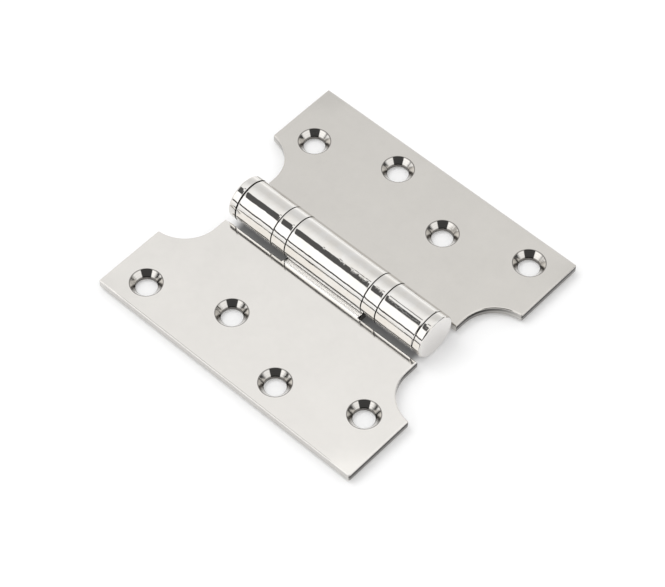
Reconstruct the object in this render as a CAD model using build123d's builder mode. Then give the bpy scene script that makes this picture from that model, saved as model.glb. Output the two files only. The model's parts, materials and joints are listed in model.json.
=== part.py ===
from build123d import *
from math import asin, atan, cos, degrees, sin
import os

# A ball bearing parliament hinge, lying open and flat with its barrel up.
# X runs across the two leaves, Y along the pin and Z up, in millimetres.
# The origin is on the surface that the hinge lies on, under the middle of the pin.
# The door leaf lies towards -X and carries the long middle knuckle.
# The jamb leaf lies towards +X and carries the two short outer knuckles.

# Leaves, each folded from one sheet
leaf_length = 101.6
open_width = 101.6
leaf_thickness = 3.0
joggle = 0.65
joggle_run = 2.4
seam_gap = 0.1
curl_edge = 0.25
strip_width = 25.5
cut_out_radius = 12.4
neck_overhang = 0.15
corner_radius = 0.5
edge_round = 0.5
knuckle_round = 0.2
notch_clearance = 0.85
cap_side_clearance = 1.8

# Screw holes, staggered in two columns on each leaf
screw_pitch = 26.5
outer_column_inset = 9.1
inner_column_inset = 18.5
screw_hole_r = 3.4
countersink_r = 5.1
countersink_angle = 78.0
countersink_round = 0.35

# Barrel: the pin, the knuckles and the width of each bearing between them
pin_r = 4.3
pin_clearance = 0.05
pin_end_gap = 0.2
pin_chamfer = 0.5
middle_knuckle = 30.7
outer_knuckle = 14.65
bearing_width = 5.75

# End caps, each a turned disc with a spigot pressed into an outer knuckle
cap_thickness = 3.0
cap_gap = 0.05
cap_round = 0.7
cap_back_round = 0.2
spigot_length = 3.5
spigot_fit = 0.02
spigot_chamfer = 0.4

# Ball bearings: a shell crimped over two grooved races, with caged balls between them
shell_play = 0.1
shell_wall = 0.5
shell_round = 0.2
lip_thickness = 0.4
lip_reach = 0.5
lip_clearance = 0.08
race_play = 0.03
race_bore_clearance = 0.1
fixed_race_fit = 0.02
moving_race_clearance = 0.1
groove_depth = 0.32
ball_r = 0.75
ball_count = 12
ball_clearance = 0.02
cage_thickness = 0.6
cage_clearance = 0.1
pocket_clearance = 0.05

# Sizes and places that follow from the driving ones
bore_r = pin_r + pin_clearance
barrel_r = bore_r + leaf_thickness
axis_z = barrel_r
leaf_back = joggle
leaf_top = leaf_back + leaf_thickness
notch_x = barrel_r + notch_clearance
cap_notch_x = barrel_r + cap_side_clearance
shoulder_x = open_width / 2 - strip_width
bearing_inner_y = middle_knuckle / 2
bearing_mid_y = bearing_inner_y + bearing_width / 2
bearing_outer_y = bearing_inner_y + bearing_width
barrel_end_y = bearing_outer_y + outer_knuckle
cap_back_y = barrel_end_y + cap_gap
cap_face_y = cap_back_y + cap_thickness
neck_y = cap_face_y + neck_overhang
spigot_end_y = cap_back_y - spigot_length
pin_half = spigot_end_y - pin_end_gap
shell_inner_r = barrel_r - shell_wall
lip_r = shell_inner_r - lip_reach
cage_r = shell_inner_r - cage_clearance
cage_bore_r = pin_r + cage_clearance
ball_pitch_r = (cage_r + cage_bore_r) / 2
groove_r = ball_r + ball_clearance
beyond = 1.0
close_by = 0.01
barrel_axis = Axis((0, 0, axis_z), (0, 1, 0))

os.makedirs("parts", exist_ok=True)


# A finished piece gets its label and is written out under the same name
def keep(piece, name):
    piece.part.label = name
    export_step(piece.part, f"parts/{name}.step")
    print(name, round(piece.part.volume, 2), "mm3")


# Section of a leaf across the pin: flat sheet, joggle, floor of the barrel and the curl over the pin
def folded_sheet(side):
    bend = 2 * atan(joggle / joggle_run)
    bend_r = joggle_run / (2 * sin(bend))
    turn = side * degrees(bend)
    landing = asin((barrel_r - leaf_thickness - seam_gap) / barrel_r)
    outer_end = (side * barrel_r * cos(landing), axis_z - barrel_r * sin(landing))
    inner_end = (side * bore_r * cos(landing), axis_z - bore_r * sin(landing))
    with BuildSketch(Plane.XZ) as section:
        with BuildLine():
            back = Line((side * open_width / 2, leaf_back), (side * notch_x, leaf_back))
            dip = JernArc(back @ 1, (-side, 0), bend_r, turn)
            ease = JernArc(dip @ 1, dip % 1, bend_r, -turn)
            Line(ease @ 1, (0, 0))
            ThreePointArc((0, 0), (-side * barrel_r, axis_z), outer_end)
            Line(outer_end, inner_end)
            ThreePointArc(inner_end, (-side * bore_r, axis_z), (0, leaf_thickness))
            floor = Line((0, leaf_thickness), (side * (notch_x - joggle_run), leaf_thickness))
            rise = JernArc(floor @ 1, (side, 0), bend_r, turn)
            crest = JernArc(rise @ 1, rise % 1, bend_r, -turn)
            face = Line(crest @ 1, (side * open_width / 2, leaf_top))
            Line(face @ 1, back @ 0)
        make_face()
        fillet(section.vertices().sort_by_distance(outer_end)[0], curl_edge)
    return section.sketch


# Plan of what is cut from a leaf: the notches round the other pieces of the barrel, and two cut-outs
def cut_plan(side, notches):
    far_x = -side * (barrel_r + beyond)
    with BuildSketch() as plan:
        for edge_x, y_from, y_to in notches:
            with BuildLine():
                edge_x = side * abs(edge_x)
                Polyline((far_x, y_from), (edge_x, y_from), (edge_x, y_to), (far_x, y_to), close=True)
            make_face()
        for end in (-1, 1):
            inner = (side * shoulder_x, end * neck_y)
            outside = end * leaf_length
            with BuildSketch(mode=Mode.PRIVATE) as cut_out:
                with BuildLine():
                    Polyline((far_x, inner[1]), inner, (inner[0], outside), (far_x, outside), close=True)
                make_face()
                fillet(cut_out.vertices().sort_by_distance(inner)[0], cut_out_radius)
            add(cut_out.sketch)
    return plan.sketch


# Edges round a leaf's two flat faces, either on the barrel's side of the cut-outs' shoulders or beyond them
def plate_rim(leaf, beyond_shoulders):
    plates = leaf.faces().filter_by(Axis.Z).sort_by(SortBy.AREA)[-2:]
    edges = plates[0].outer_wire().edges() + plates[1].outer_wire().edges()
    return [edge for edge in edges if (abs(edge.center().X) > shoulder_x) == beyond_shoulders]


# Whether an edge is where the sheet runs on into a knuckle, and so stays unrounded
def is_root(edge, knuckles):
    middle = edge.center()
    at_notch = abs(middle.X) < notch_x + close_by
    return at_notch and any(low < middle.Y < high for low, high in knuckles)


# Outer edges of the curls where the knuckles end
def curl_edges(leaf):
    arcs = leaf.edges().filter_by(GeomType.CIRCLE)
    return [arc for arc in arcs if abs(arc.radius - barrel_r) < close_by and arc.length > barrel_r]


# Rims of the countersinks on the leaf's top face, which polishing has rounded
def countersink_rims(leaf):
    circles = leaf.edges().filter_by(GeomType.CIRCLE)
    on_top = circles.filter_by_position(Axis.Z, leaf_top - close_by, leaf_top + close_by)
    return [circle for circle in on_top if abs(circle.radius - countersink_r) < close_by]


# The two leaves, which differ in their knuckles and are each other turned half round in their holes
middle_notch = (notch_x, -bearing_outer_y, bearing_outer_y)
door_notches = [(notch_x, end * bearing_inner_y, end * (neck_y + beyond)) for end in (-1, 1)]
cap_notches = [(cap_notch_x, end * barrel_end_y, end * (neck_y + beyond)) for end in (-1, 1)]
outer_knuckles = [(-barrel_end_y, -bearing_outer_y), (bearing_outer_y, barrel_end_y)]
leaves = (
    ("door_leaf", -1, door_notches, [(-bearing_inner_y, bearing_inner_y)]),
    ("jamb_leaf", 1, [middle_notch] + cap_notches, outer_knuckles),
)
for name, side, notches, knuckles in leaves:
    with BuildPart() as leaf:
        extrude(folded_sheet(side), amount=leaf_length / 2, both=True)
        extrude(cut_plan(side, notches), amount=2 * barrel_r + beyond, mode=Mode.SUBTRACT)
        upright = leaf.edges().filter_by(Axis.Z)
        fillet(upright.group_by(Axis.X)[-1 if side > 0 else 0], corner_radius)
        fillet([edge for edge in plate_rim(leaf, False) if not is_root(edge, knuckles)], edge_round)
        fillet(plate_rim(leaf, True), edge_round)
        fillet(curl_edges(leaf), knuckle_round)
        columns = (inner_column_inset, outer_column_inset, inner_column_inset, outer_column_inset)
        middle_row = (len(columns) - 1) / 2
        for row, inset in enumerate(columns):
            hole_y = side * (middle_row - row) * screw_pitch
            with Locations((side * (open_width / 2 - inset), hole_y, leaf_top)):
                CounterSinkHole(screw_hole_r, countersink_r, 2 * leaf_thickness, countersink_angle)
        fillet(countersink_rims(leaf), countersink_round)
    keep(leaf, name)

# Hinge pin, which ends short of the spigots of the caps
with BuildPart() as hinge_pin:
    with BuildSketch(Plane.XZ.offset(-pin_half)):
        with Locations((0, axis_z)):
            Circle(pin_r)
    extrude(amount=2 * pin_half)
    chamfer(hinge_pin.edges().filter_by(GeomType.CIRCLE), pin_chamfer)
keep(hinge_pin, "hinge_pin")


# End cap: half its outline, turned round the pin's axis
def make_end_cap(half_plane, name):
    with BuildPart() as end_cap:
        with BuildSketch(half_plane) as outline:
            with BuildLine():
                Polyline(
                    (0, spigot_end_y),
                    (bore_r - spigot_fit, spigot_end_y),
                    (bore_r - spigot_fit, cap_back_y),
                    (barrel_r, cap_back_y),
                    (barrel_r, cap_face_y),
                    (0, cap_face_y),
                    close=True,
                )
            make_face()
            rim = outline.vertices().group_by(Axis.X)[-1].sort_by(Axis.Y)
            fillet(rim[0], cap_back_round)
            fillet(outline.vertices().group_by(Axis.Y)[-1].sort_by(Axis.X)[-1], cap_round)
            chamfer(outline.vertices().group_by(Axis.Y)[0].sort_by(Axis.X)[-1], spigot_chamfer)
        revolve(axis=barrel_axis)
    keep(end_cap, name)


# Bearing shell: a thin sleeve whose two lips are crimped over the shoulders of the races
def make_shell(half_plane, name):
    width = bearing_width - 2 * shell_play
    outwards = (Align.MIN, Align.CENTER)
    with BuildPart() as shell:
        with BuildSketch(half_plane) as outline:
            with Locations((0, bearing_mid_y)):
                Rectangle(barrel_r, width, align=outwards)
                fillet(outline.vertices().group_by(Axis.X)[-1], shell_round)
                Rectangle(shell_inner_r, width - 2 * lip_thickness, align=outwards, mode=Mode.SUBTRACT)
                Rectangle(lip_r, width, align=outwards, mode=Mode.SUBTRACT)
        revolve(axis=barrel_axis)
    keep(shell, name)


# Race: a hardened ring with a shoulder under the shell's lip and a groove that the balls run in
def make_race(half_plane, outward, race_r, name):
    flat = ball_r + ball_clearance - groove_depth
    shoulder = bearing_width / 2 - shell_play - lip_thickness - lip_clearance
    face = bearing_width / 2 - race_play
    race_bore_r = pin_r + race_bore_clearance
    with BuildPart() as race:
        with BuildSketch(half_plane):
            with BuildLine():
                Polyline(
                    (race_bore_r, bearing_mid_y + outward * flat),
                    (race_r, bearing_mid_y + outward * flat),
                    (race_r, bearing_mid_y + outward * shoulder),
                    (lip_r - lip_clearance, bearing_mid_y + outward * shoulder),
                    (lip_r - lip_clearance, bearing_mid_y + outward * face),
                    (race_bore_r, bearing_mid_y + outward * face),
                    close=True,
                )
            make_face()
            with Locations((ball_pitch_r, bearing_mid_y)):
                Circle(groove_r, mode=Mode.SUBTRACT)
        revolve(axis=barrel_axis)
    keep(race, name)


# Ball cage: a flat ring with a round pocket for each ball
def make_cage(mid_plane, name):
    with BuildPart(mid_plane) as cage:
        Cylinder(cage_r, cage_thickness)
        Hole(cage_bore_r)
        with PolarLocations(ball_pitch_r, ball_count):
            Hole(ball_r + pocket_clearance)
    keep(cage, name)


# Balls, one in each pocket of the cage
def make_balls(mid_plane, end_name):
    for number in range(ball_count):
        with BuildPart(mid_plane) as ball:
            with PolarLocations(ball_pitch_r, 1, number * 360 / ball_count):
                Sphere(ball_r)
        keep(ball, f"{end_name}_ball_{number + 1:02d}")


# Both ends of the barrel are alike, mirrored in the middle of the pin
for end_name, end in (("upper", 1), ("lower", -1)):
    half_plane = Plane(origin=(0, 0, axis_z), x_dir=(1, 0, 0), z_dir=(0, 0, end))
    mid_plane = Plane(origin=(0, end * bearing_mid_y, axis_z), x_dir=(1, 0, 0), z_dir=(0, end, 0))
    make_end_cap(half_plane, f"{end_name}_end_cap")
    make_shell(half_plane, f"{end_name}_bearing_shell")
    make_race(half_plane, 1, shell_inner_r - fixed_race_fit, f"{end_name}_fixed_race")
    make_race(half_plane, -1, shell_inner_r - moving_race_clearance, f"{end_name}_moving_race")
    make_cage(mid_plane, f"{end_name}_ball_cage")
    make_balls(mid_plane, end_name)
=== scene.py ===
# %% [markdown]
# A parliament hinge in polished stainless steel, lying open with its barrel up.
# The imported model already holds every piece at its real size: two folded leaves, the pin, two end
# caps and two ball bearings. Everything here is about how those pieces look. We load them first,
# because each later cell takes its places and sizes from them.

import json
import math

import bpy
from mathutils import Matrix, Vector


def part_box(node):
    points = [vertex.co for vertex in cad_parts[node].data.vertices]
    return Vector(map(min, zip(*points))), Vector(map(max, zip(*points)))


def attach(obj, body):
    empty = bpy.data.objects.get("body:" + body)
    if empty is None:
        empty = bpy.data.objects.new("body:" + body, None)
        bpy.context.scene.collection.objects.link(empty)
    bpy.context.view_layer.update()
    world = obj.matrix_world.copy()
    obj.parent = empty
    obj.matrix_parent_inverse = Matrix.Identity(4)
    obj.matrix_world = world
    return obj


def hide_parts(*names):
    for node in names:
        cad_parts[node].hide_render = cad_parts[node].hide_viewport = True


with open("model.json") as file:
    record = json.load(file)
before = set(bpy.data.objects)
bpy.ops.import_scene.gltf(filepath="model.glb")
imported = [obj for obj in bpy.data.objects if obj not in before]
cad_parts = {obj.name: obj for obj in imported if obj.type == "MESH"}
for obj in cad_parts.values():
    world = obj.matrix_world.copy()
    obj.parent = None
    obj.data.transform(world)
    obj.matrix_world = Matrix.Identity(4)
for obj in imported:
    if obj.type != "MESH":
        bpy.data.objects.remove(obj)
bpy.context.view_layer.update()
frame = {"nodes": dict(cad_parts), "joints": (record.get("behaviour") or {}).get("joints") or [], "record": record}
nodes = frame["nodes"]
print("pieces in the packed hinge:", len(nodes))

# %% [markdown]
# Blender works in metres, while a maker of hinges thinks in millimetres. One factor turns one into
# the other. The height of the pin above the table comes from the joint that the leaves swing on,
# and the barrel touches the table, so the same height is the barrel's radius.

# %% Sizes taken from the frame
MM = 0.001
swing = next(joint for joint in frame["joints"] if joint["name"] == "leaf_swing")
AXIS_HEIGHT = swing["pos_m"][2]
BARREL_RADIUS = AXIS_HEIGHT
mounts = {mount["name"]: mount for mount in frame["record"]["mounts"]}
print("barrel radius in mm:", round(BARREL_RADIUS / MM, 2))


# %% [markdown]
# Looks are made of nodes, and a node tree takes many small steps, so a few helpers keep them short.
# The first adds a node and fills its inputs, either with a plain value or with a link from another
# node. The next ones do the same for one step of arithmetic, for the three parts of a vector and
# for the length that two sides at right angles make.


# %% Helpers for single nodes
def add_node(tree, kind, inputs=None, **settings):
    made = tree.nodes.new(kind)
    for name, value in settings.items():
        setattr(made, name, value)
    for key, value in (inputs or {}).items():
        if isinstance(value, bpy.types.NodeSocket):
            tree.links.new(value, made.inputs[key])
        else:
            made.inputs[key].default_value = value
    return made


def calc(tree, operation, *values, clamp=False):
    inputs = dict(enumerate(values))
    return add_node(tree, "ShaderNodeMath", inputs, operation=operation, use_clamp=clamp).outputs[0]


def split(tree, vector):
    return add_node(tree, "ShaderNodeSeparateXYZ", {0: vector}).outputs


def slant_length(tree, first, second):
    squares = [calc(tree, "MULTIPLY", side, side) for side in (first, second)]
    return calc(tree, "SQRT", calc(tree, "ADD", *squares))


print("helpers for single nodes ready")


# %% [markdown]
# What several finishes share is a group of nodes with named inputs and outputs. It is built once,
# and every tree that uses it gives it values of its own. Two helpers start a group and place it.


# %% Helpers for groups of nodes
def new_group(name, inputs, outputs):
    tree = bpy.data.node_groups.new(name, "ShaderNodeTree")
    for label, kind, value in inputs:
        socket = tree.interface.new_socket(label, in_out="INPUT", socket_type="NodeSocket" + kind)
        if value is not None:
            socket.default_value = value
    for label, kind in outputs:
        tree.interface.new_socket(label, in_out="OUTPUT", socket_type="NodeSocket" + kind)
    group_ends = [tree.nodes.new(kind) for kind in ("NodeGroupInput", "NodeGroupOutput")]
    return tree, group_ends[0].outputs, group_ends[1].inputs


def use_group(tree, group, inputs):
    return add_node(tree, "ShaderNodeGroup", inputs, node_tree=group).outputs


print("helpers for groups ready")

# %% [markdown]
# Many effects below need the same thing: a mask that is 1 inside a range of values and 0 outside,
# with a soft step at both ends. It is built once as a group, and every use gives it other limits.

# %% A soft window as a node group
window_group, group_in, group_out = new_group(
    "Soft window",
    [("Value", "Float", 0.0), ("Low", "Float", 0.0), ("High", "Float", 1.0), ("Soft", "Float", 0.1)],
    [("Mask", "Float")],
)
tree = window_group
half_soft = calc(tree, "MULTIPLY", group_in["Soft"], 0.5)
steps = []
for limit, starts_at in (("Low", 0.0), ("High", 1.0)):
    before = calc(tree, "SUBTRACT", group_in[limit], half_soft)
    after = calc(tree, "ADD", group_in[limit], half_soft)
    ends = {"Value": group_in["Value"], "From Min": before, "From Max": after}
    ends.update({"To Min": starts_at, "To Max": 1.0 - starts_at})
    step = add_node(tree, "ShaderNodeMapRange", ends, interpolation_type="SMOOTHSTEP")
    steps.append(step.outputs[0])
tree.links.new(calc(tree, "MULTIPLY", *steps), group_out["Mask"])
print("built:", window_group.name)

# %% [markdown]
# The window is used in two ways. One gives both limits. The other is for distances, which have only
# an upper limit, so its lower limit lies far below anything that a distance can be.

# %% Masks by range and by reach
FAR_BELOW = -10.0


def soft_window(tree, value, low, high, soft):
    limits = {"Value": value, "Low": low, "High": high, "Soft": soft}
    return use_group(tree, window_group, limits)[0]


def within(tree, distance, reach, soft):
    return soft_window(tree, distance, FAR_BELOW, reach, soft)


print("masks by range and by reach ready")

# %% [markdown]
# The camera, the lamp and the light tent are all placed by direction. An azimuth is in degrees from
# the barrel's upper end, +Y, towards the jamb leaf, +X, and an elevation is in degrees above the
# table. The camera stands where the photographer stood: high, in front of the barrel's near end
# and to its left, with a long lens, and with the slight roll that the photograph has.

# %% Camera
AIM_POINT = Vector((-6.9, -3.95, 3.65)) * MM
CAMERA_AZIMUTH, CAMERA_ELEVATION, CAMERA_ROLL = -132.29, 54.26, 0.40
CAMERA_DISTANCE = 792.3 * MM
LENS_MM = 143.74
NEAREST_SEEN = 10 * MM


def towards(azimuth, elevation):
    azimuth, elevation = math.radians(azimuth), math.radians(elevation)
    level = Vector((math.sin(azimuth), math.cos(azimuth), 0)) * math.cos(elevation)
    return level + Vector((0, 0, math.sin(elevation)))


camera_side = towards(CAMERA_AZIMUTH, CAMERA_ELEVATION)
camera = bpy.data.objects.new("camera", bpy.data.cameras.new("camera"))
bpy.context.scene.collection.objects.link(camera)
camera.data.lens = LENS_MM
camera.data.clip_start = NEAREST_SEEN
stand = Matrix.Translation(AIM_POINT + camera_side * CAMERA_DISTANCE)
turn = (-camera_side).to_track_quat("-Z", "Y").to_matrix().to_4x4()
camera.matrix_world = stand @ turn @ Matrix.Rotation(math.radians(CAMERA_ROLL), 4, "Z")
bpy.context.scene.camera = camera
print("camera stands at", [round(value / MM) for value in camera.matrix_world.translation], "mm")

# %% [markdown]
# Polished steel has almost no colour of its own, so what it mirrors makes its look. The tent round
# the hinge is a white world with a few panels in it: a bright soft box on the left, another at the
# back, thin dark gaps above the table, and the dark side where the camera stands. Lamps and cards
# could be real objects, but a world costs no geometry and never shows at the picture's edge. Each
# panel is a soft window in azimuth and elevation, laid over the light that comes before it. A
# panel's numbers come in the order of PANEL_SIZES: four angles, a softness in degrees, and a level
# of light that is 1 for plain white.

# %% A panel of the tent as a node group
PANEL_SIZES = ("Middle", "Half width", "Lowest", "Highest", "Soft", "Level")
PANELS = {
    "gap above the table": (-150, 105, 7.5, 13.5, 1.0, 0.05),
    "gap on the far right": (134, 34, -1.0, 12.0, 2.0, 0.08),
    "left soft box": (-72, 34, 15.0, 50.0, 3.0, 1.45),
    "back soft box": (168, 30, 12.0, 45.0, 4.0, 1.22),
    "camera side": (-131, 35, 12.0, 60.0, 5.0, 0.07),
}

panel_group, group_in, group_out = new_group(
    "Tent panel",
    [(label, "Float", 0.0) for label in ("Azimuth", "Elevation", "Before", *PANEL_SIZES)],
    [("Light", "Float")],
)
tree = panel_group
off_middle = calc(tree, "SUBTRACT", group_in["Azimuth"], group_in["Middle"])
aside = calc(tree, "ABSOLUTE", calc(tree, "WRAP", off_middle, 180.0, -180.0))
across = within(tree, aside, group_in["Half width"], group_in["Soft"])
heights = [group_in[label] for label in ("Elevation", "Lowest", "Highest", "Soft")]
inside = calc(tree, "MULTIPLY", across, soft_window(tree, *heights))
change = calc(tree, "SUBTRACT", group_in["Level"], group_in["Before"])
tree.links.new(calc(tree, "MULTIPLY_ADD", inside, change, group_in["Before"]), group_out["Light"])
print("panels:", ", ".join(PANELS))

# %% [markdown]
# A world's Generated coordinates are the direction that a ray leaves in, so a little trigonometry
# turns them into azimuth and elevation. The wall of the tent is brighter low down and overhead than
# half way up. A colour ramp holds that: each stop is a place, from the horizon at 0 to straight
# overhead at 1, and a level. The levels are halved and the result is doubled, so that no colour on
# the ramp is brighter than white. The panels are then laid over the wall one after the other.

# %% The tent's wall and its panels
WALL_STOPS = (
    (0.0, 1.3),
    (0.07, 1.2),
    (0.15, 0.98),
    (0.3, 0.86),
    (0.5, 0.86),
    (0.62, 1.01),
    (0.72, 1.16),
    (1.0, 1.16),
)
STOP_SCALE = 2.0

world = bpy.data.worlds.new("white tent")
bpy.context.scene.world = world
world.use_nodes = True
tree = world.node_tree
tree.nodes.clear()
ray = split(tree, add_node(tree, "ShaderNodeTexCoord").outputs["Generated"])
azimuth = calc(tree, "DEGREES", calc(tree, "ARCTAN2", ray["X"], ray["Y"]))
elevation = calc(tree, "DEGREES", calc(tree, "ARCSINE", ray["Z"]))
wall = add_node(tree, "ShaderNodeValToRGB", {0: calc(tree, "DIVIDE", elevation, 90.0, clamp=True)})
ramp = wall.color_ramp
while len(ramp.elements) < len(WALL_STOPS):
    ramp.elements.new(1.0)
for stop, (place, level) in zip(ramp.elements, WALL_STOPS):
    stop.position = place
    stop.color = (level / STOP_SCALE,) * 3 + (1.0,)
light = calc(tree, "MULTIPLY", wall.outputs[0], STOP_SCALE)
for sizes in PANELS.values():
    values = {"Azimuth": azimuth, "Elevation": elevation, "Before": light}
    values.update(zip(PANEL_SIZES, sizes))
    light = use_group(tree, panel_group, values)[0]
print("panels laid over the wall:", len(PANELS))

# %% [markdown]
# The dark card under the ceiling gives the barrel its dark streak. It is easiest to place on a flat
# ceiling, one unit above the hinge, where a direction's place is its X and Y divided by its Z. The
# card is wide at its far end and narrow at its near one, and a thin rail runs beside the narrow
# part. Directions less than 30 degrees up, whose Z is below a half, never reach it. Camera rays see
# plain white instead of the tent, which keeps the picture's ground white.

# %% The ceiling card
CARD_LEFT, CARD_RIGHT, CARD_NARROW_RIGHT = -0.62, -0.08, -0.21
CARD_NEAR_END, CARD_NARROWS_AT, CARD_FAR_END = 0.33, 0.425, 0.60
CARD_SOFT, CARD_END_SOFT, CARD_LEVEL = 0.05, 0.02, 0.11
RAIL_LEFT, RAIL_RIGHT = -0.04, 0.02
LEAST_RISE, OVERHEAD_RISE = 0.05, 0.5

rise = calc(tree, "MAXIMUM", ray["Z"], LEAST_RISE)
ceiling_x, ceiling_y = [calc(tree, "DIVIDE", ray[part], rise) for part in ("X", "Y")]
overhead = calc(tree, "GREATER_THAN", ray["Z"], OVERHEAD_RISE)
strips = (
    (CARD_LEFT, CARD_RIGHT, CARD_NARROWS_AT, CARD_FAR_END),
    (CARD_LEFT, CARD_NARROW_RIGHT, CARD_NEAR_END, CARD_NARROWS_AT),
    (RAIL_LEFT, RAIL_RIGHT, CARD_NEAR_END, CARD_NARROWS_AT),
)
for left, right, near, far in strips:
    over = soft_window(tree, ceiling_x, left, right, CARD_SOFT)
    along = soft_window(tree, ceiling_y, near, far, CARD_END_SOFT)
    inside = calc(tree, "MULTIPLY", calc(tree, "MULTIPLY", over, along), overhead)
    light = calc(tree, "MULTIPLY_ADD", inside, calc(tree, "SUBTRACT", CARD_LEVEL, light), light)

path = add_node(tree, "ShaderNodeLightPath").outputs
light = calc(tree, "MULTIPLY_ADD", path["Is Camera Ray"], calc(tree, "SUBTRACT", 1.0, light), light)
background = add_node(tree, "ShaderNodeBackground", {"Color": (1.0, 1.0, 1.0, 1.0), "Strength": light})
add_node(tree, "ShaderNodeOutputWorld", {"Surface": background.outputs[0]})
bpy.context.scene.view_settings.view_transform = "Standard"
print("world nodes:", len(tree.nodes))

# %% [markdown]
# One soft lamp, high beyond the barrel's upper end, gives the hinge a side that its shadow falls
# on. It lights the table only: the steel shouldn't mirror it, so it is hidden from glossy rays.

# %% Shadow lamp
LAMP_AZIMUTH, LAMP_ELEVATION = -22, 64
LAMP_DISTANCE, LAMP_SIZE, LAMP_WATTS = 1.5, 0.8, 5.5

lamp_side = towards(LAMP_AZIMUTH, LAMP_ELEVATION)
lamp = bpy.data.objects.new("shadow_lamp", bpy.data.lights.new("shadow_lamp", "AREA"))
bpy.context.scene.collection.objects.link(lamp)
lamp.data.size = LAMP_SIZE
lamp.data.energy = LAMP_WATTS
lamp.visible_glossy = False
lamp.location = lamp_side * LAMP_DISTANCE
lamp.rotation_mode = "QUATERNION"
lamp.rotation_quaternion = (-lamp_side).to_track_quat("-Z", "Y")
print("lamp at", [round(value, 2) for value in lamp.location], "m")

# %% [markdown]
# The table is one large white sheet. Lit until it looked pure white, it would lose the shadow that
# it is there for. So its matt part stays a little darker and catches the shadow, and a small glow
# that only camera, mirror and glass rays see lifts the open sheet to white. Under the barrel,
# between the two leaves, hardly any light gets in, so both parts fade there.

# %% White table
TABLE_HALF_WIDTH = 3.0
TABLE_WHITE, TABLE_GLOW = 0.80, 0.20
SHADE_HALF_WIDTH, SHADE_HALF_LENGTH = 8.4 * MM, 36 * MM
SHADE_SOFT, SHADE_LEFT = 3 * MM, 0.3

signs = ((-1, -1), (1, -1), (1, 1), (-1, 1))
corners = [(x * TABLE_HALF_WIDTH, y * TABLE_HALF_WIDTH, 0) for x, y in signs]
table_mesh = bpy.data.meshes.new("table")
table_mesh.from_pydata(corners, [], [(0, 1, 2, 3)])
table = bpy.data.objects.new("table", table_mesh)
bpy.context.scene.collection.objects.link(table)
paper = bpy.data.materials.new("white paper")
paper.use_nodes = True
tree = paper.node_tree
tree.nodes.clear()
path = add_node(tree, "ShaderNodeLightPath").outputs
seen = calc(tree, "MAXIMUM", path["Is Camera Ray"], path["Is Glossy Ray"])
seen = calc(tree, "MAXIMUM", seen, path["Is Transmission Ray"])
spot = split(tree, add_node(tree, "ShaderNodeTexCoord").outputs["Object"])
shaded = 1.0
for place, half_size in ((spot["X"], SHADE_HALF_WIDTH), (spot["Y"], SHADE_HALF_LENGTH)):
    shaded = calc(tree, "MULTIPLY", shaded, soft_window(tree, place, -half_size, half_size, SHADE_SOFT))
openness = calc(tree, "MULTIPLY_ADD", shaded, SHADE_LEFT - 1.0, 1.0)
matt = add_node(tree, "ShaderNodeBsdfDiffuse", {"Color": calc(tree, "MULTIPLY", openness, TABLE_WHITE)})
glow_strength = calc(tree, "MULTIPLY", calc(tree, "MULTIPLY", seen, openness), TABLE_GLOW)
glow = add_node(tree, "ShaderNodeEmission", {"Strength": glow_strength})
both = add_node(tree, "ShaderNodeAddShader", {0: matt.outputs[0], 1: glow.outputs[0]})
add_node(tree, "ShaderNodeOutputMaterial", {"Surface": both.outputs[0]})
table_mesh.materials.append(paper)
print("table laid")

# %% [markdown]
# Buffing leaves soft clouds on sheet steel: patches a few millimetres wide that are a trace lighter
# or darker. Two noises of different size, added, look less regular than one: each has its share of
# the sum and a number that says how much finer it is than the size asked for. The group gives the
# clouds as a value round 0, so that a finish can lighten its colour and roughen its gloss by it.
# A fourth coordinate, the seed, gives each finish clouds of its own.

# %% Buffing clouds
COARSE_CLOUDS, FINE_CLOUDS = (0.65, 1.0), (0.35, 4.3)

cloud_group, group_in, group_out = new_group(
    "Buffing clouds",
    [("Place", "Vector", None), ("Size", "Float", 8 * MM), ("Seed", "Float", 0.0)],
    [("Clouds", "Float")],
)
tree = cloud_group
clouds = 0.0
for share, finer in (COARSE_CLOUDS, FINE_CLOUDS):
    scale = calc(tree, "DIVIDE", finer, group_in["Size"])
    inputs = {"Vector": group_in["Place"], "W": group_in["Seed"], "Scale": scale, "Detail": 2.0}
    noise = add_node(tree, "ShaderNodeTexNoise", inputs, noise_dimensions="4D").outputs[0]
    clouds = calc(tree, "MULTIPLY_ADD", calc(tree, "SUBTRACT", noise, 0.5), share, clouds)
tree.links.new(clouds, group_out["Clouds"])
print("built:", cloud_group.name)

# %% [markdown]
# Grinding leaves hair lines, all running the same way. A noise whose coordinates are shortened in
# two directions varies mostly along the third, so on a round piece it makes lines round that axis.
# They are less than a thousandth of a millimetre deep, so they only widen the highlights a little.

# %% Hair lines
hair_group, group_in, group_out = new_group(
    "Hair lines",
    [("Place", "Vector", None), ("Stretch", "Vector", (1.0, 1.0, 1.0)), ("Width", "Float", 0.08 * MM)],
    [("Lines", "Float")],
)
tree = hair_group
stretch = {0: group_in["Place"], 1: group_in["Stretch"]}
stretched = add_node(tree, "ShaderNodeVectorMath", stretch, operation="MULTIPLY").outputs[0]
fineness = calc(tree, "DIVIDE", 1.0, group_in["Width"])
inputs = {"Vector": stretched, "Scale": fineness, "Detail": 1.0}
tree.links.new(add_node(tree, "ShaderNodeTexNoise", inputs).outputs[0], group_out["Lines"])
print("built:", hair_group.name)

# %% [markdown]
# A lathe or a countersinking tool leaves rings about its own axis. Real grooves as fine as these
# would need millions of faces. Instead, the group takes the distance from the axis and gives fine
# waves, which a Bump node turns into grooves for the light alone.

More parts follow.
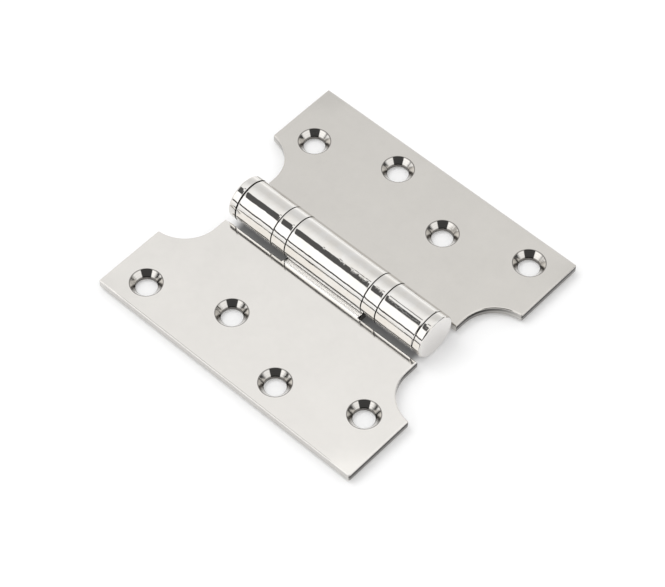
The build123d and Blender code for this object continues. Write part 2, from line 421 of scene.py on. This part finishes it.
# %% Turned rings
ring_group, group_in, group_out = new_group(
    "Turned rings",
    [("Distance", "Float", 0.0), ("Spacing", "Float", 0.2 * MM)],
    [("Waves", "Float")],
)
tree = ring_group
rings_out = calc(tree, "DIVIDE", group_in["Distance"], group_in["Spacing"])
tree.links.new(calc(tree, "SINE", calc(tree, "MULTIPLY", rings_out, 2 * math.pi)), group_out["Waves"])
print("built:", ring_group.name)

# %% [markdown]
# A mop can't keep a round surface perfectly true. The barrel waves by a few hundredths of a
# millimetre, which is enough to make the edges of everything that it mirrors wander.

# %% Waves left by the mop
WAVE_LENGTH, WAVE_HEIGHT = 6 * MM, 0.075 * MM

wave_group, group_in, group_out = new_group(
    "Mop waves", [("Place", "Vector", None)], [("Height", "Float")]
)
tree = wave_group
inputs = {"Vector": group_in["Place"], "Scale": 1 / WAVE_LENGTH, "Detail": 2.5}
noise = add_node(tree, "ShaderNodeTexNoise", inputs).outputs[0]
wave = calc(tree, "MULTIPLY", calc(tree, "SUBTRACT", noise, 0.5), WAVE_HEIGHT)
tree.links.new(wave, group_out["Height"])
print("built:", wave_group.name)

# %% [markdown]
# The same mop leans over the outer corners of the leaves. The mesh stays flat there, but the light
# falls on it as if the very corner lay half a millimetre low, and a centimetre away hardly anything
# is left of that. The group measures how near a place is to the outer edge and to the nearer end,
# and where both are near, the height falls away.

# %% Fall of the outer corners
CORNER_REACH, CORNER_FALL = 12 * MM, 0.55 * MM
leaf_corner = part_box("jamb_leaf")[1]

corner_group, group_in, group_out = new_group(
    "Fall of the corners", [("Place", "Vector", None)], [("Height", "Float")]
)
tree = corner_group
spot = split(tree, group_in["Place"])
fall = -CORNER_FALL
for place, edge in ((spot["X"], leaf_corner.x), (spot["Y"], leaf_corner.y)):
    inwards = calc(tree, "SUBTRACT", edge, calc(tree, "ABSOLUTE", place))
    nearness = calc(tree, "SUBTRACT", 1.0, calc(tree, "DIVIDE", inwards, CORNER_REACH), clamp=True)
    fall = calc(tree, "MULTIPLY", calc(tree, "MULTIPLY", nearness, nearness), fall)
tree.links.new(fall, group_out["Height"])
print("corners at", [round(value / MM, 1) for value in (leaf_corner.x, leaf_corner.y)], "mm")

# %% [markdown]
# One piece of a leaf carries several finishes: the satin sheet, the mirror polished knuckles with their duller
# roots, the bright countersinks and the upright walls. They could be materials on chosen faces, but a imported
# mesh stays as it is, so masks find each place instead. The knuckles are near the pin's axis, and their roots are
# where they meet the sheet, below the barrel's middle, where the mop can't reach. A countersink slopes by its half
# angle, so the object's own normal finds it, and the walls are the places whose normal lies level. The ends of a
# leaf get a band just under the top, where a dark reflection is painted.

# %% Limits of the zones of a leaf
KNUCKLE_REACH, KNUCKLE_SOFT = BARREL_RADIUS + 0.5 * MM, 0.5 * MM
ROOT_REACH, ROOT_SOFT = BARREL_RADIUS + 2.0 * MM, 1.0 * MM
LOWER_HALF_TOP, LOWER_HALF_SOFT = -1.0 * MM, 2.0 * MM
COUNTERSINK_HALF_ANGLE = math.radians(39)
SLOPE_MARGIN, SLOPE_SOFT = 0.12, 0.04
LEVEL_LIMIT, LEVEL_SOFT = 0.3, 0.2
# The band of painted dark reflection on the ends lies between these heights.
DARK_BAND_LOW, DARK_BAND_HIGH, DARK_BAND_SOFT = 2.2 * MM, 3.5 * MM, 0.25 * MM
KNUCKLE_ZONES = ("Off axis", "Knuckle", "Knuckle top", "Root")
SHEET_ZONES = ("Face", "Countersink", "Wall", "Leaf end", "Painted dark band")
print("zones of a leaf:", ", ".join(KNUCKLE_ZONES + SHEET_ZONES))

# %% [markdown]
# The group first finds what belongs to the barrel, from the distance to the pin's axis, and then
# what belongs to the flat sheet, from the normal.

# %% Zones of a leaf
zone_group, group_in, group_out = new_group(
    "Zones of a leaf",
    [("Place", "Vector", None), ("Normal", "Vector", None)],
    [(zone, "Float") for zone in KNUCKLE_ZONES + SHEET_ZONES],
)
tree = zone_group
spot, facing = split(tree, group_in["Place"]), split(tree, group_in["Normal"])
height = calc(tree, "SUBTRACT", spot["Z"], AXIS_HEIGHT)
off_axis = slant_length(tree, spot["X"], height)
knuckle = within(tree, off_axis, KNUCKLE_REACH, KNUCKLE_SOFT)
lower_half = within(tree, height, LOWER_HALF_TOP, LOWER_HALF_SOFT)
knuckle_top = calc(tree, "MULTIPLY", knuckle, calc(tree, "SUBTRACT", 1.0, lower_half))
root = calc(tree, "MULTIPLY", within(tree, off_axis, ROOT_REACH, ROOT_SOFT), lower_half)
for zone, mask in zip(KNUCKLE_ZONES, (off_axis, knuckle, knuckle_top, root)):
    tree.links.new(mask, group_out[zone])

flat = calc(tree, "SUBTRACT", 1.0, knuckle)
face = calc(tree, "GREATER_THAN", facing["Z"], LEVEL_LIMIT)
slope = math.sin(COUNTERSINK_HALF_ANGLE)
sloping = soft_window(tree, facing["Z"], slope - SLOPE_MARGIN, slope + SLOPE_MARGIN, SLOPE_SOFT)
level_normal = soft_window(tree, facing["Z"], -LEVEL_LIMIT, LEVEL_LIMIT, LEVEL_SOFT)
countersink, wall = [calc(tree, "MULTIPLY", mask, flat) for mask in (sloping, level_normal)]
leaf_end = calc(tree, "ABSOLUTE", facing["Y"])
# A dark reflection is painted in this band on the ends of a leaf.
band = soft_window(tree, spot["Z"], DARK_BAND_LOW, DARK_BAND_HIGH, DARK_BAND_SOFT)
painted_dark_band = calc(tree, "MULTIPLY", band, leaf_end)
for zone, mask in zip(SHEET_ZONES, (face, countersink, wall, leaf_end, painted_dark_band)):
    tree.links.new(mask, group_out[zone])
print("built:", zone_group.name)

# %% [markdown]
# A screw hole was drilled and then countersunk, so tool marks run in rings about its axis. The holes
# stand in two columns and repeat with the same pitch, so two distances are enough for all of them:
# one to the nearest hole of the inner column and one to the nearest of the outer. The jamb leaf is
# the door leaf turned half round, so the sign of X turns Y with it.

# %% Distance from the nearest screw hole
screw_columns = (mounts["jamb_inner_screws"], mounts["jamb_outer_screws"])
ROW_PITCH = screw_columns[0]["dims"]["spacing_y_mm"] * MM
SCREW_HOLE_RADIUS = screw_columns[0]["dims"]["hole_r_mm"] * MM

hole_group, group_in, group_out = new_group(
    "Nearest screw hole", [("Place", "Vector", None)], [("Distance", "Float")]
)
tree = hole_group
spot = split(tree, group_in["Place"])
outwards = calc(tree, "ABSOLUTE", spot["X"])
turned_y = calc(tree, "MULTIPLY", spot["Y"], calc(tree, "SIGN", spot["X"]))
distances = []
for column in screw_columns:
    column_x, middle_y, _ = column["pos_m"]
    across = calc(tree, "SUBTRACT", outwards, column_x)
    along = calc(tree, "SUBTRACT", turned_y, middle_y + ROW_PITCH / 2)
    along = calc(tree, "WRAP", along, ROW_PITCH / 2, -ROW_PITCH / 2)
    distances.append(slant_length(tree, across, along))
tree.links.new(calc(tree, "MINIMUM", *distances), group_out["Distance"])
print("rows repeat every", round(ROW_PITCH / MM, 1), "mm")

# %% [markdown]
# Buffing wears the ends of every length of the barrel down by less than a tenth of a millimetre, so the mirror
# image bends where two lengths meet. A bevel would change the imported meshes, so the shader does it: the group
# gives the height of that roll-off, in metres, and a mask for the thin line of painted shade in the seam's gap.
# The seams' places are the ends of the imported bearing shell and the back of the end cap's head.

# %% Roll-off at the seams
ROLL_OFF_REACH, ROLL_OFF_DEPTH = 1.7 * MM, 0.07 * MM
ROLL_OFF_POWER = 3.0
SEAM_HALF_WIDTH, SEAM_SOFT = 0.20 * MM, 0.12 * MM
CAP_HEAD_THICKNESS = 3.0 * MM
shell_ends = [corner.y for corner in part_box("upper_bearing_shell")]
seams = [*shell_ends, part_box("upper_end_cap")[1].y - CAP_HEAD_THICKNESS]

roll_group, group_in, group_out = new_group(
    "Seams of the barrel", [("Place", "Vector", None)], [("Height", "Float"), ("Shade", "Float")]
)
tree = roll_group
along = calc(tree, "ABSOLUTE", split(tree, group_in["Place"])["Y"])
height, shade = 0.0, 0.0
for seam in seams:
    off_seam = calc(tree, "ABSOLUTE", calc(tree, "SUBTRACT", along, seam))
    nearness = calc(tree, "SUBTRACT", 1.0, calc(tree, "DIVIDE", off_seam, ROLL_OFF_REACH), clamp=True)
    drop = calc(tree, "POWER", nearness, ROLL_OFF_POWER)
    height = calc(tree, "MULTIPLY_ADD", drop, -ROLL_OFF_DEPTH, height)
    shade = calc(tree, "MAXIMUM", shade, within(tree, off_seam, SEAM_HALF_WIDTH, SEAM_SOFT))
tree.links.new(height, group_out["Height"])
tree.links.new(shade, group_out["Shade"])
print("seams at", [round(seam / MM, 2) for seam in seams], "mm from the middle")


# %% [markdown]
# Every finish here is bare metal, so they share a start: a Principled shader with its Metallic at 1,
# the place on the object and the object's own normal. Each material then adds what is its own. A
# relief bends the shader's normal through a Bump node, whose distance of 1 takes heights in metres.


# %% A start for bare metal
def bare_metal(name):
    material = bpy.data.materials.new(name)
    material.use_nodes = True
    tree = material.node_tree
    tree.nodes.clear()
    shader = add_node(tree, "ShaderNodeBsdfPrincipled", {"Metallic": 1.0})
    add_node(tree, "ShaderNodeOutputMaterial", {"Surface": shader.outputs[0]})
    coordinates = add_node(tree, "ShaderNodeTexCoord").outputs
    return material, tree, shader, coordinates["Object"], coordinates["Normal"]


def finish_metal(tree, shader, colour, roughness, relief, strength=1.0, distance=1.0):
    tree.links.new(colour, shader.inputs["Base Color"])
    tree.links.new(roughness, shader.inputs["Roughness"])
    inputs = {"Height": relief, "Strength": strength, "Distance": distance}
    tree.links.new(add_node(tree, "ShaderNodeBump", inputs).outputs[0], shader.inputs["Normal"])


print("bare metal helpers ready")


# %% [markdown]
# Finishes meet and mix, so three helpers lighten a colour, mix two values and mix two colours by a
# mask. A Mix node keeps its sockets for colours behind those for plain values and vectors, under
# the same names, so the colours are reached by their number.


# %% Mixing colours and values
FIRST_COLOUR, SECOND_COLOUR, MIXED_COLOUR = 6, 7, 2


def tinted(tree, colour, factor):
    inputs = {0: colour, "Scale": factor}
    return add_node(tree, "ShaderNodeVectorMath", inputs, operation="SCALE").outputs[0]


def blend_values(tree, mask, first, second):
    inputs = {"Factor": mask, "A": first, "B": second}
    return add_node(tree, "ShaderNodeMix", inputs, data_type="FLOAT").outputs["Result"]


def blend_colours(tree, mask, first, second):
    inputs = {"Factor": mask}
    for socket, colour in ((FIRST_COLOUR, first), (SECOND_COLOUR, second)):
        plain = not isinstance(colour, bpy.types.NodeSocket)
        inputs[socket] = (*colour, 1.0) if plain else colour
    return add_node(tree, "ShaderNodeMix", inputs, data_type="RGBA").outputs[MIXED_COLOUR]


print("mixing helpers ready")

# %% [markdown]
# The barrel is mirror polished. In patches its colour turns a trace warmer: a warm reflection, painted into the
# steel's colour as clouds. The patches run on across the seams because knuckles, shells and caps share one frame
# and read the same clouds.

# %% Steel of the barrel
# The warm colour is a painted warm reflection, laid out in cloud-shaped patches.
BARREL_STEEL, WARM_PAINTED_REFLECTION = (0.765, 0.756, 0.74), (0.715, 0.683, 0.634)
BARREL_CLOUD_SIZE, BARREL_SEED = 5 * MM, 7.0
WARMTH_GAIN, WARMTH_MIDDLE = 2.4, 0.4
MIRROR_ROUGHNESS = 0.03
# The seam's dark line is painted shade where little light gets into the gap.
SEAM_PAINTED_SHADE = (0.06, 0.055, 0.05)


def barrel_clouds(tree, place):
    inputs = {"Place": place, "Size": BARREL_CLOUD_SIZE, "Seed": BARREL_SEED}
    return use_group(tree, cloud_group, inputs)[0]


# Mixes the painted warm reflection into the steel by the clouds.
def steel_with_painted_warmth(tree, clouds):
    warmth = calc(tree, "MULTIPLY_ADD", clouds, WARMTH_GAIN, WARMTH_MIDDLE, clamp=True)
    return blend_colours(tree, warmth, BARREL_STEEL, WARM_PAINTED_REFLECTION)


print("barrel steel ready")

# %% [markdown]
# A countersink was cut, not polished: its cone shows fine rings, bright and dark by turns, and both of its rims
# get a thin dark line of painted shade. The slope alone would also find the rounded edges of the leaf, so the mask
# for the cone is kept near the holes. RIMS gives each rim's radius and the half width of its line.

# %% Marks round a screw hole
COUNTERSINK_RADIUS = 5.1 * MM
CUT_REACH, CUT_SOFT = COUNTERSINK_RADIUS + 0.3 * MM, 0.2 * MM
# The dark colour is painted shade for the hole's wall and the rims of the countersink.
COUNTERSINK_STEEL, HOLE_PAINTED_SHADE = (0.64, 0.62, 0.59), (0.16, 0.15, 0.14)
TOOL_MARK_WIDTH, TOOL_MARK_CONTRAST = 0.22 * MM, 0.7
RIMS = ((SCREW_HOLE_RADIUS, 0.2 * MM), (COUNTERSINK_RADIUS, 0.14 * MM))
RIM_STRENGTH, RIM_SOFT = 0.8, 0.12 * MM


def countersink_mask(tree, zones, hole_distance):
    near_hole = within(tree, hole_distance, CUT_REACH, CUT_SOFT)
    return calc(tree, "MULTIPLY", zones["Countersink"], near_hole)


def mark_countersinks(tree, colour, cut, face, hole_distance):
    marks_out = calc(tree, "MULTIPLY", hole_distance, 1 / TOOL_MARK_WIDTH)
    inputs = {"W": marks_out, "Scale": 1.0, "Detail": 2.0}
    marks = add_node(tree, "ShaderNodeTexNoise", inputs, noise_dimensions="1D").outputs[0]
    marks = calc(tree, "MULTIPLY_ADD", marks, TOOL_MARK_CONTRAST, 1.0 - TOOL_MARK_CONTRAST / 2)
    colour = blend_colours(tree, cut, colour, tinted(tree, COUNTERSINK_STEEL, marks))
    # Each rim gets a thin line of painted shade.
    for radius, half_width in RIMS:
        rim = soft_window(tree, hole_distance, radius - half_width, radius + half_width, RIM_SOFT)
        rim = calc(tree, "MULTIPLY", calc(tree, "MULTIPLY", rim, face), RIM_STRENGTH)
        colour = blend_colours(tree, rim, colour, HOLE_PAINTED_SHADE)
    return colour


hole_size, cut_size = [round(2 * radius / MM, 1) for radius in (SCREW_HOLE_RADIUS, COUNTERSINK_RADIUS)]
print("holes of", hole_size, "mm, countersunk to", cut_size, "mm")

# %% [markdown]
# The walls of a leaf are seen as thin lines only, but they draw its outline. The long edges are lighter. The ends
# are darker as painted shade, and a band just under the top of each end is painted almost black as a dark
# reflection. The wall of a screw hole is painted dark all the way down as painted shade.

# %% Walls of a leaf
# The end walls' darker colour is painted shade.
LONG_EDGE, END_WALL_PAINTED_SHADE = (0.62, 0.605, 0.58), (0.27, 0.26, 0.25)
# A dark reflection painted just under the top of each end.
DARK_BAND_PAINTED_REFLECTION = (0.02, 0.018, 0.016)
DRILLED_REACH = SCREW_HOLE_RADIUS + 0.08 * MM


def add_walls(tree, colour, zones, hole_distance):
    # Darkens the end walls with painted shade and paints the dark reflection band on them.
    wall = blend_colours(tree, zones["Leaf end"], LONG_EDGE, END_WALL_PAINTED_SHADE)
    wall = blend_colours(tree, zones["Painted dark band"], wall, DARK_BAND_PAINTED_REFLECTION)
    colour = blend_colours(tree, zones["Wall"], colour, wall)
    # The hole's wall is darkened with painted shade.
    drilled = within(tree, hole_distance, DRILLED_REACH, RIM_SOFT)
    return blend_colours(tree, drilled, colour, HOLE_PAINTED_SHADE)


print("walls ready")

# %% [markdown]
# The leaves are the largest surfaces. The sheet is satin: its gloss is too soft to mirror the
# barrel sharply, and the clouds move its roughness a little. From there the roughness is built up
# zone by zone, each laid over the one before. The relief adds up the waves, the seams, the
# countersinks' rings and the fall of the corners.

# %% Gloss and relief of a leaf
SHEET_ROUGHNESS, SHEET_ROUGHNESS_SWING = 0.085, 0.05
ROOT_ROUGHNESS, COUNTERSINK_ROUGHNESS, WALL_ROUGHNESS = 0.22, 0.06, 0.16
COUNTERSINK_RING_SPACING, COUNTERSINK_RING_HEIGHT = 0.16 * MM, 0.0008 * MM


def leaf_roughness(tree, zones, cut, clouds):
    rough = calc(tree, "MULTIPLY_ADD", clouds, SHEET_ROUGHNESS_SWING, SHEET_ROUGHNESS)
    rough = blend_values(tree, zones["Knuckle"], rough, MIRROR_ROUGHNESS)
    rough = blend_values(tree, zones["Root"], rough, ROOT_ROUGHNESS)
    rough = blend_values(tree, cut, rough, COUNTERSINK_ROUGHNESS)
    return blend_values(tree, zones["Wall"], rough, WALL_ROUGHNESS)


def leaf_relief(tree, place, zones, cut, hole_distance, seam_height):
    waves = use_group(tree, wave_group, {"Place": place})[0]
    polished = calc(tree, "MULTIPLY", calc(tree, "ADD", seam_height, waves), zones["Knuckle top"])
    rings = {"Distance": hole_distance, "Spacing": COUNTERSINK_RING_SPACING}
    rings = calc(tree, "MULTIPLY", use_group(tree, ring_group, rings)[0], cut)
    relief = calc(tree, "MULTIPLY_ADD", rings, COUNTERSINK_RING_HEIGHT, polished)
    return calc(tree, "ADD", relief, use_group(tree, corner_group, {"Place": place})[0])


print("gloss and relief of a leaf ready")

# %% [markdown]
# The colour is built up in the same way: the clouded sheet, then the knuckles and their roots, lightened by a
# painted highlight, the countersinks, the walls and the seams, darkened by painted shade. Both leaves are the same
# steel, and the jamb leaf's darker sheet is painted shade, so the same function makes both, with another colour
# and another seed for the clouds.

# %% Steel of both leaves
DOOR_SHEET, DOOR_SEED = (0.79, 0.768, 0.735), 3.0
# The jamb leaf's darker sheet colour is painted shade on the same steel as the door leaf.
JAMB_SHEET_WITH_PAINTED_SHADE, JAMB_SEED = (0.655, 0.633, 0.598), 11.0
SHEET_CLOUD_SIZE, SHEET_CLOUD_CONTRAST = 9 * MM, 0.11
# The roots' near-white colour is a painted highlight standing in for the bright band they mirror.
ROOT_PAINTED_HIGHLIGHT = (0.98, 0.97, 0.955)


def leaf_steel(name, sheet_colour, seed):
    material, tree, shader, place, normal = bare_metal(name)
    zones = use_group(tree, zone_group, {"Place": place, "Normal": normal})
    seams_here = use_group(tree, roll_group, {"Place": place})
    hole_distance = use_group(tree, hole_group, {"Place": place})[0]
    cut = countersink_mask(tree, zones, hole_distance)
    inputs = {"Place": place, "Size": SHEET_CLOUD_SIZE, "Seed": seed}
    clouds = use_group(tree, cloud_group, inputs)[0]
    colour = tinted(tree, sheet_colour, calc(tree, "MULTIPLY_ADD", clouds, SHEET_CLOUD_CONTRAST, 1.0))
    knuckle_steel = steel_with_painted_warmth(tree, barrel_clouds(tree, place))
    colour = blend_colours(tree, zones["Knuckle"], colour, knuckle_steel)
    # Lightens the roots with the painted highlight.
    colour = blend_colours(tree, zones["Root"], colour, ROOT_PAINTED_HIGHLIGHT)
    colour = mark_countersinks(tree, colour, cut, zones["Face"], hole_distance)
    colour = add_walls(tree, colour, zones, hole_distance)
    # Painted shade in the seams between the knuckles.
    seam = calc(tree, "MULTIPLY", seams_here["Shade"], zones["Knuckle"])
    colour = blend_colours(tree, seam, colour, SEAM_PAINTED_SHADE)
    rough = leaf_roughness(tree, zones, cut, clouds)
    relief = leaf_relief(tree, place, zones, cut, hole_distance, seams_here["Height"])
    finish_metal(tree, shader, colour, rough, relief)
    return material


door_steel = leaf_steel("buffed door leaf", DOOR_SHEET, DOOR_SEED)
jamb_steel = leaf_steel("buffed jamb leaf", JAMB_SHEET_WITH_PAINTED_SHADE, JAMB_SEED)
print("leaf finishes:", door_steel.name, "and", jamb_steel.name)


# %% [markdown]
# The end caps and the shells of the bearings are turned and mirror polished. Their flat faces are a little softer
# than the side and keep fine rings from the lathe, and their paler colour is painted light. The side has the mop's
# waves and the roll-off at each seam.

# %% Steel of the caps and shells
# The flat faces' paler colour is painted light that lifts them.
CAP_FACE_PAINTED_LIGHT, CAP_FACE_ROUGHNESS = (0.82, 0.80, 0.78), 0.2
END_FACE_NORMAL = 0.95
BARREL_ROUGHNESS_SWING = 0.02
LATHE_RING_SPACING, LATHE_RING_HEIGHT = 0.25 * MM, 0.0004 * MM


def barrel_steel():
    material, tree, shader, place, normal = bare_metal("mirror polished barrel")
    zones = use_group(tree, zone_group, {"Place": place, "Normal": normal})
    seams_here = use_group(tree, roll_group, {"Place": place})
    clouds = barrel_clouds(tree, place)
    along_pin = calc(tree, "ABSOLUTE", split(tree, normal)["Y"])
    end_face = calc(tree, "GREATER_THAN", along_pin, END_FACE_NORMAL)
    # Flat end faces get the paler colour of painted light.
    colour = blend_colours(tree, end_face, steel_with_painted_warmth(tree, clouds), CAP_FACE_PAINTED_LIGHT)
    # Painted shade in the seams of the barrel.
    colour = blend_colours(tree, seams_here["Shade"], colour, SEAM_PAINTED_SHADE)
    rough = blend_values(tree, end_face, MIRROR_ROUGHNESS, CAP_FACE_ROUGHNESS)
    rough = calc(tree, "MULTIPLY_ADD", clouds, BARREL_ROUGHNESS_SWING, rough)
    rings = {"Distance": zones["Off axis"], "Spacing": LATHE_RING_SPACING}
    rings = calc(tree, "MULTIPLY", use_group(tree, ring_group, rings)[0], end_face)
    waves = use_group(tree, wave_group, {"Place": place})[0]
    relief = calc(tree, "MULTIPLY_ADD", rings, LATHE_RING_HEIGHT, waves)
    relief = calc(tree, "ADD", relief, seams_here["Height"])
    finish_metal(tree, shader, colour, rough, relief)
    return material


barrel_finish = barrel_steel()
print("barrel finish:", barrel_finish.name)


# %% [markdown]
# Inside the barrel, the pin and the races are ground, which leaves hair lines round them, the balls
# are lapped, and the cages are stamped brass. Only an open bearing shows them, but each has its own
# finish: a colour, a roughness, and how its lines are stretched.

# %% Finishes inside the barrel
ROUND_THE_PIN, ALL_WAYS = (0.02, 1.0, 0.02), (1.0, 1.0, 1.0)
INNER_CLOUD_SIZE, INNER_SEED = 2 * MM, 1.0
INNER_CLOUD_CONTRAST, INNER_ROUGHNESS_SWING = 0.12, 0.06
HAIR_LINE_STRENGTH, HAIR_LINE_DEPTH = 0.05, 0.01 * MM
INNER_METALS = {
    "ground pin steel": ((0.60, 0.60, 0.61), 0.18, ROUND_THE_PIN),
    "hardened race steel": ((0.52, 0.52, 0.54), 0.14, ROUND_THE_PIN),
    "lapped ball steel": ((0.66, 0.66, 0.68), 0.05, ALL_WAYS),
    "stamped cage brass": ((0.80, 0.58, 0.26), 0.24, ALL_WAYS),
}


def inner_metal(name, plain_colour, roughness, stretch):
    material, tree, shader, place, _ = bare_metal(name)
    inputs = {"Place": place, "Size": INNER_CLOUD_SIZE, "Seed": INNER_SEED}
    clouds = use_group(tree, cloud_group, inputs)[0]
    colour = tinted(tree, plain_colour, calc(tree, "MULTIPLY_ADD", clouds, INNER_CLOUD_CONTRAST, 1.0))
    rough = calc(tree, "MULTIPLY_ADD", clouds, INNER_ROUGHNESS_SWING, roughness)
    lines = use_group(tree, hair_group, {"Place": place, "Stretch": stretch})[0]
    finish_metal(tree, shader, colour, rough, lines, HAIR_LINE_STRENGTH, HAIR_LINE_DEPTH)
    return material


inner_finishes = [inner_metal(name, *look) for name, look in INNER_METALS.items()]
pin_finish, race_finish, ball_finish, cage_finish = inner_finishes
print("inner finishes:", ", ".join(finish.name for finish in inner_finishes))

# %% [markdown]
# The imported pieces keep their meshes, which already have the right form and smooth normals. Only
# their material slots change, and the end of a piece's name says which finish it gets.

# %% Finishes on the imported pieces
FINISH_BY_ENDING = {
    "door_leaf": door_steel,
    "jamb_leaf": jamb_steel,
    "end_cap": barrel_finish,
    "bearing_shell": barrel_finish,
    "hinge_pin": pin_finish,
    "race": race_finish,
    "ball_cage": cage_finish,
}
for name, piece in nodes.items():
    for ending, finish in FINISH_BY_ENDING.items():
        if name.endswith(ending):
            piece.data.materials.clear()
            piece.data.materials.append(finish)
print("pieces with a new finish:", sum(name.endswith(tuple(FINISH_BY_ENDING)) for name in nodes))

# %% [markdown]
# Each bearing holds a ring of twelve balls, which repeat round the pin. A loop could copy one ball
# twelve times, but Geometry Nodes keep the number and the sizes as inputs, so one tree makes both
# rings. A circle gives the places, an instance of one ball stands at each, and the ring is turned
# from the circle's flat plane to stand across the pin. The tree ends by making the instances real
# and giving them their finish.

# %% A tree that makes a ring of balls
RING_INPUTS = (
    ("Count", "Int"),
    ("Pitch radius", "Float"),
    ("Ball radius", "Float"),
    ("Middle", "Vector"),
    ("Finish", "Material"),
)
BALL_SEGMENTS, BALL_RINGS = 40, 20

ring_tree = bpy.data.node_groups.new("Ring of balls", "GeometryNodeTree")
ring_tree.interface.new_socket("Geometry", in_out="OUTPUT", socket_type="NodeSocketGeometry")
for label, kind in RING_INPUTS:
    ring_tree.interface.new_socket(label, in_out="INPUT", socket_type="NodeSocket" + kind)
sizes = ring_tree.nodes.new("NodeGroupInput").outputs
places = {"Vertices": sizes["Count"], "Radius": sizes["Pitch radius"]}
circle = add_node(ring_tree, "GeometryNodeMeshCircle", places)
round_ball = {"Segments": BALL_SEGMENTS, "Rings": BALL_RINGS, "Radius": sizes["Ball radius"]}
ball = add_node(ring_tree, "GeometryNodeMeshUVSphere", round_ball)
smooth = add_node(ring_tree, "GeometryNodeSetShadeSmooth", {"Geometry": ball.outputs["Mesh"]})
copies = {"Points": circle.outputs[0], "Instance": smooth.outputs[0]}
placed = add_node(ring_tree, "GeometryNodeInstanceOnPoints", copies)
upright = {"Translation": sizes["Middle"], "Rotation": (math.radians(90), 0, 0)}
across_pin = add_node(ring_tree, "GeometryNodeTransform", {"Geometry": placed.outputs[0], **upright})
real = add_node(ring_tree, "GeometryNodeRealizeInstances", {0: across_pin.outputs[0]})
finished = {"Geometry": real.outputs[0], "Material": sizes["Finish"]}
coloured = add_node(ring_tree, "GeometryNodeSetMaterial", finished)
ring_tree.links.new(coloured.outputs[0], ring_tree.nodes.new("NodeGroupOutput").inputs[0])
print("ring tree nodes:", len(ring_tree.nodes))

# %% [markdown]
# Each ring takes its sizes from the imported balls: their number, the size of one, and how far it
# stands from the pin's axis. The values go to the modifier by the socket's identifier, before it is
# first evaluated. The result is then copied to a plain mesh, which rides on the body of the balls
# it stands for.


# %% Both rings of balls
def ball_ring(end_name):
    prefix = end_name + "_ball_"
    balls = sorted(name for name in nodes if name.startswith(prefix) and name[-1].isdigit())
    low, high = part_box(balls[0])
    first_middle, ball_radius = (low + high) / 2, (high.y - low.y) / 2
    middle = Vector((0, first_middle.y, AXIS_HEIGHT))
    maker = bpy.data.objects.new(end_name + "_maker", bpy.data.meshes.new(end_name + "_maker"))
    bpy.context.scene.collection.objects.link(maker)
    modifier = maker.modifiers.new("ring", "NODES")
    modifier.node_group = ring_tree
    values = {"Count": len(balls), "Middle": middle, "Finish": ball_finish}
    values.update({"Pitch radius": (first_middle - middle).length, "Ball radius": ball_radius})
    for item in ring_tree.interface.items_tree:
        if item.in_out == "INPUT":
            modifier[item.identifier] = values[item.name]
    evaluated = maker.evaluated_get(bpy.context.evaluated_depsgraph_get())
    mesh = bpy.data.meshes.new_from_object(evaluated)
    bpy.data.objects.remove(maker)
    ring = bpy.data.objects.new(end_name + "_ball_ring", mesh)
    bpy.context.scene.collection.objects.link(ring)
    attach(ring, end_name + "_ball_train")
    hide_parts(*balls)
    print(ring.name, "stands for", len(balls), "balls and has", len(mesh.polygons), "faces")


for end_name in ("upper", "lower"):
    ball_ring(end_name)

# %% [markdown]
# The last cell ends the script.

# %% End of the script
print("scene built")
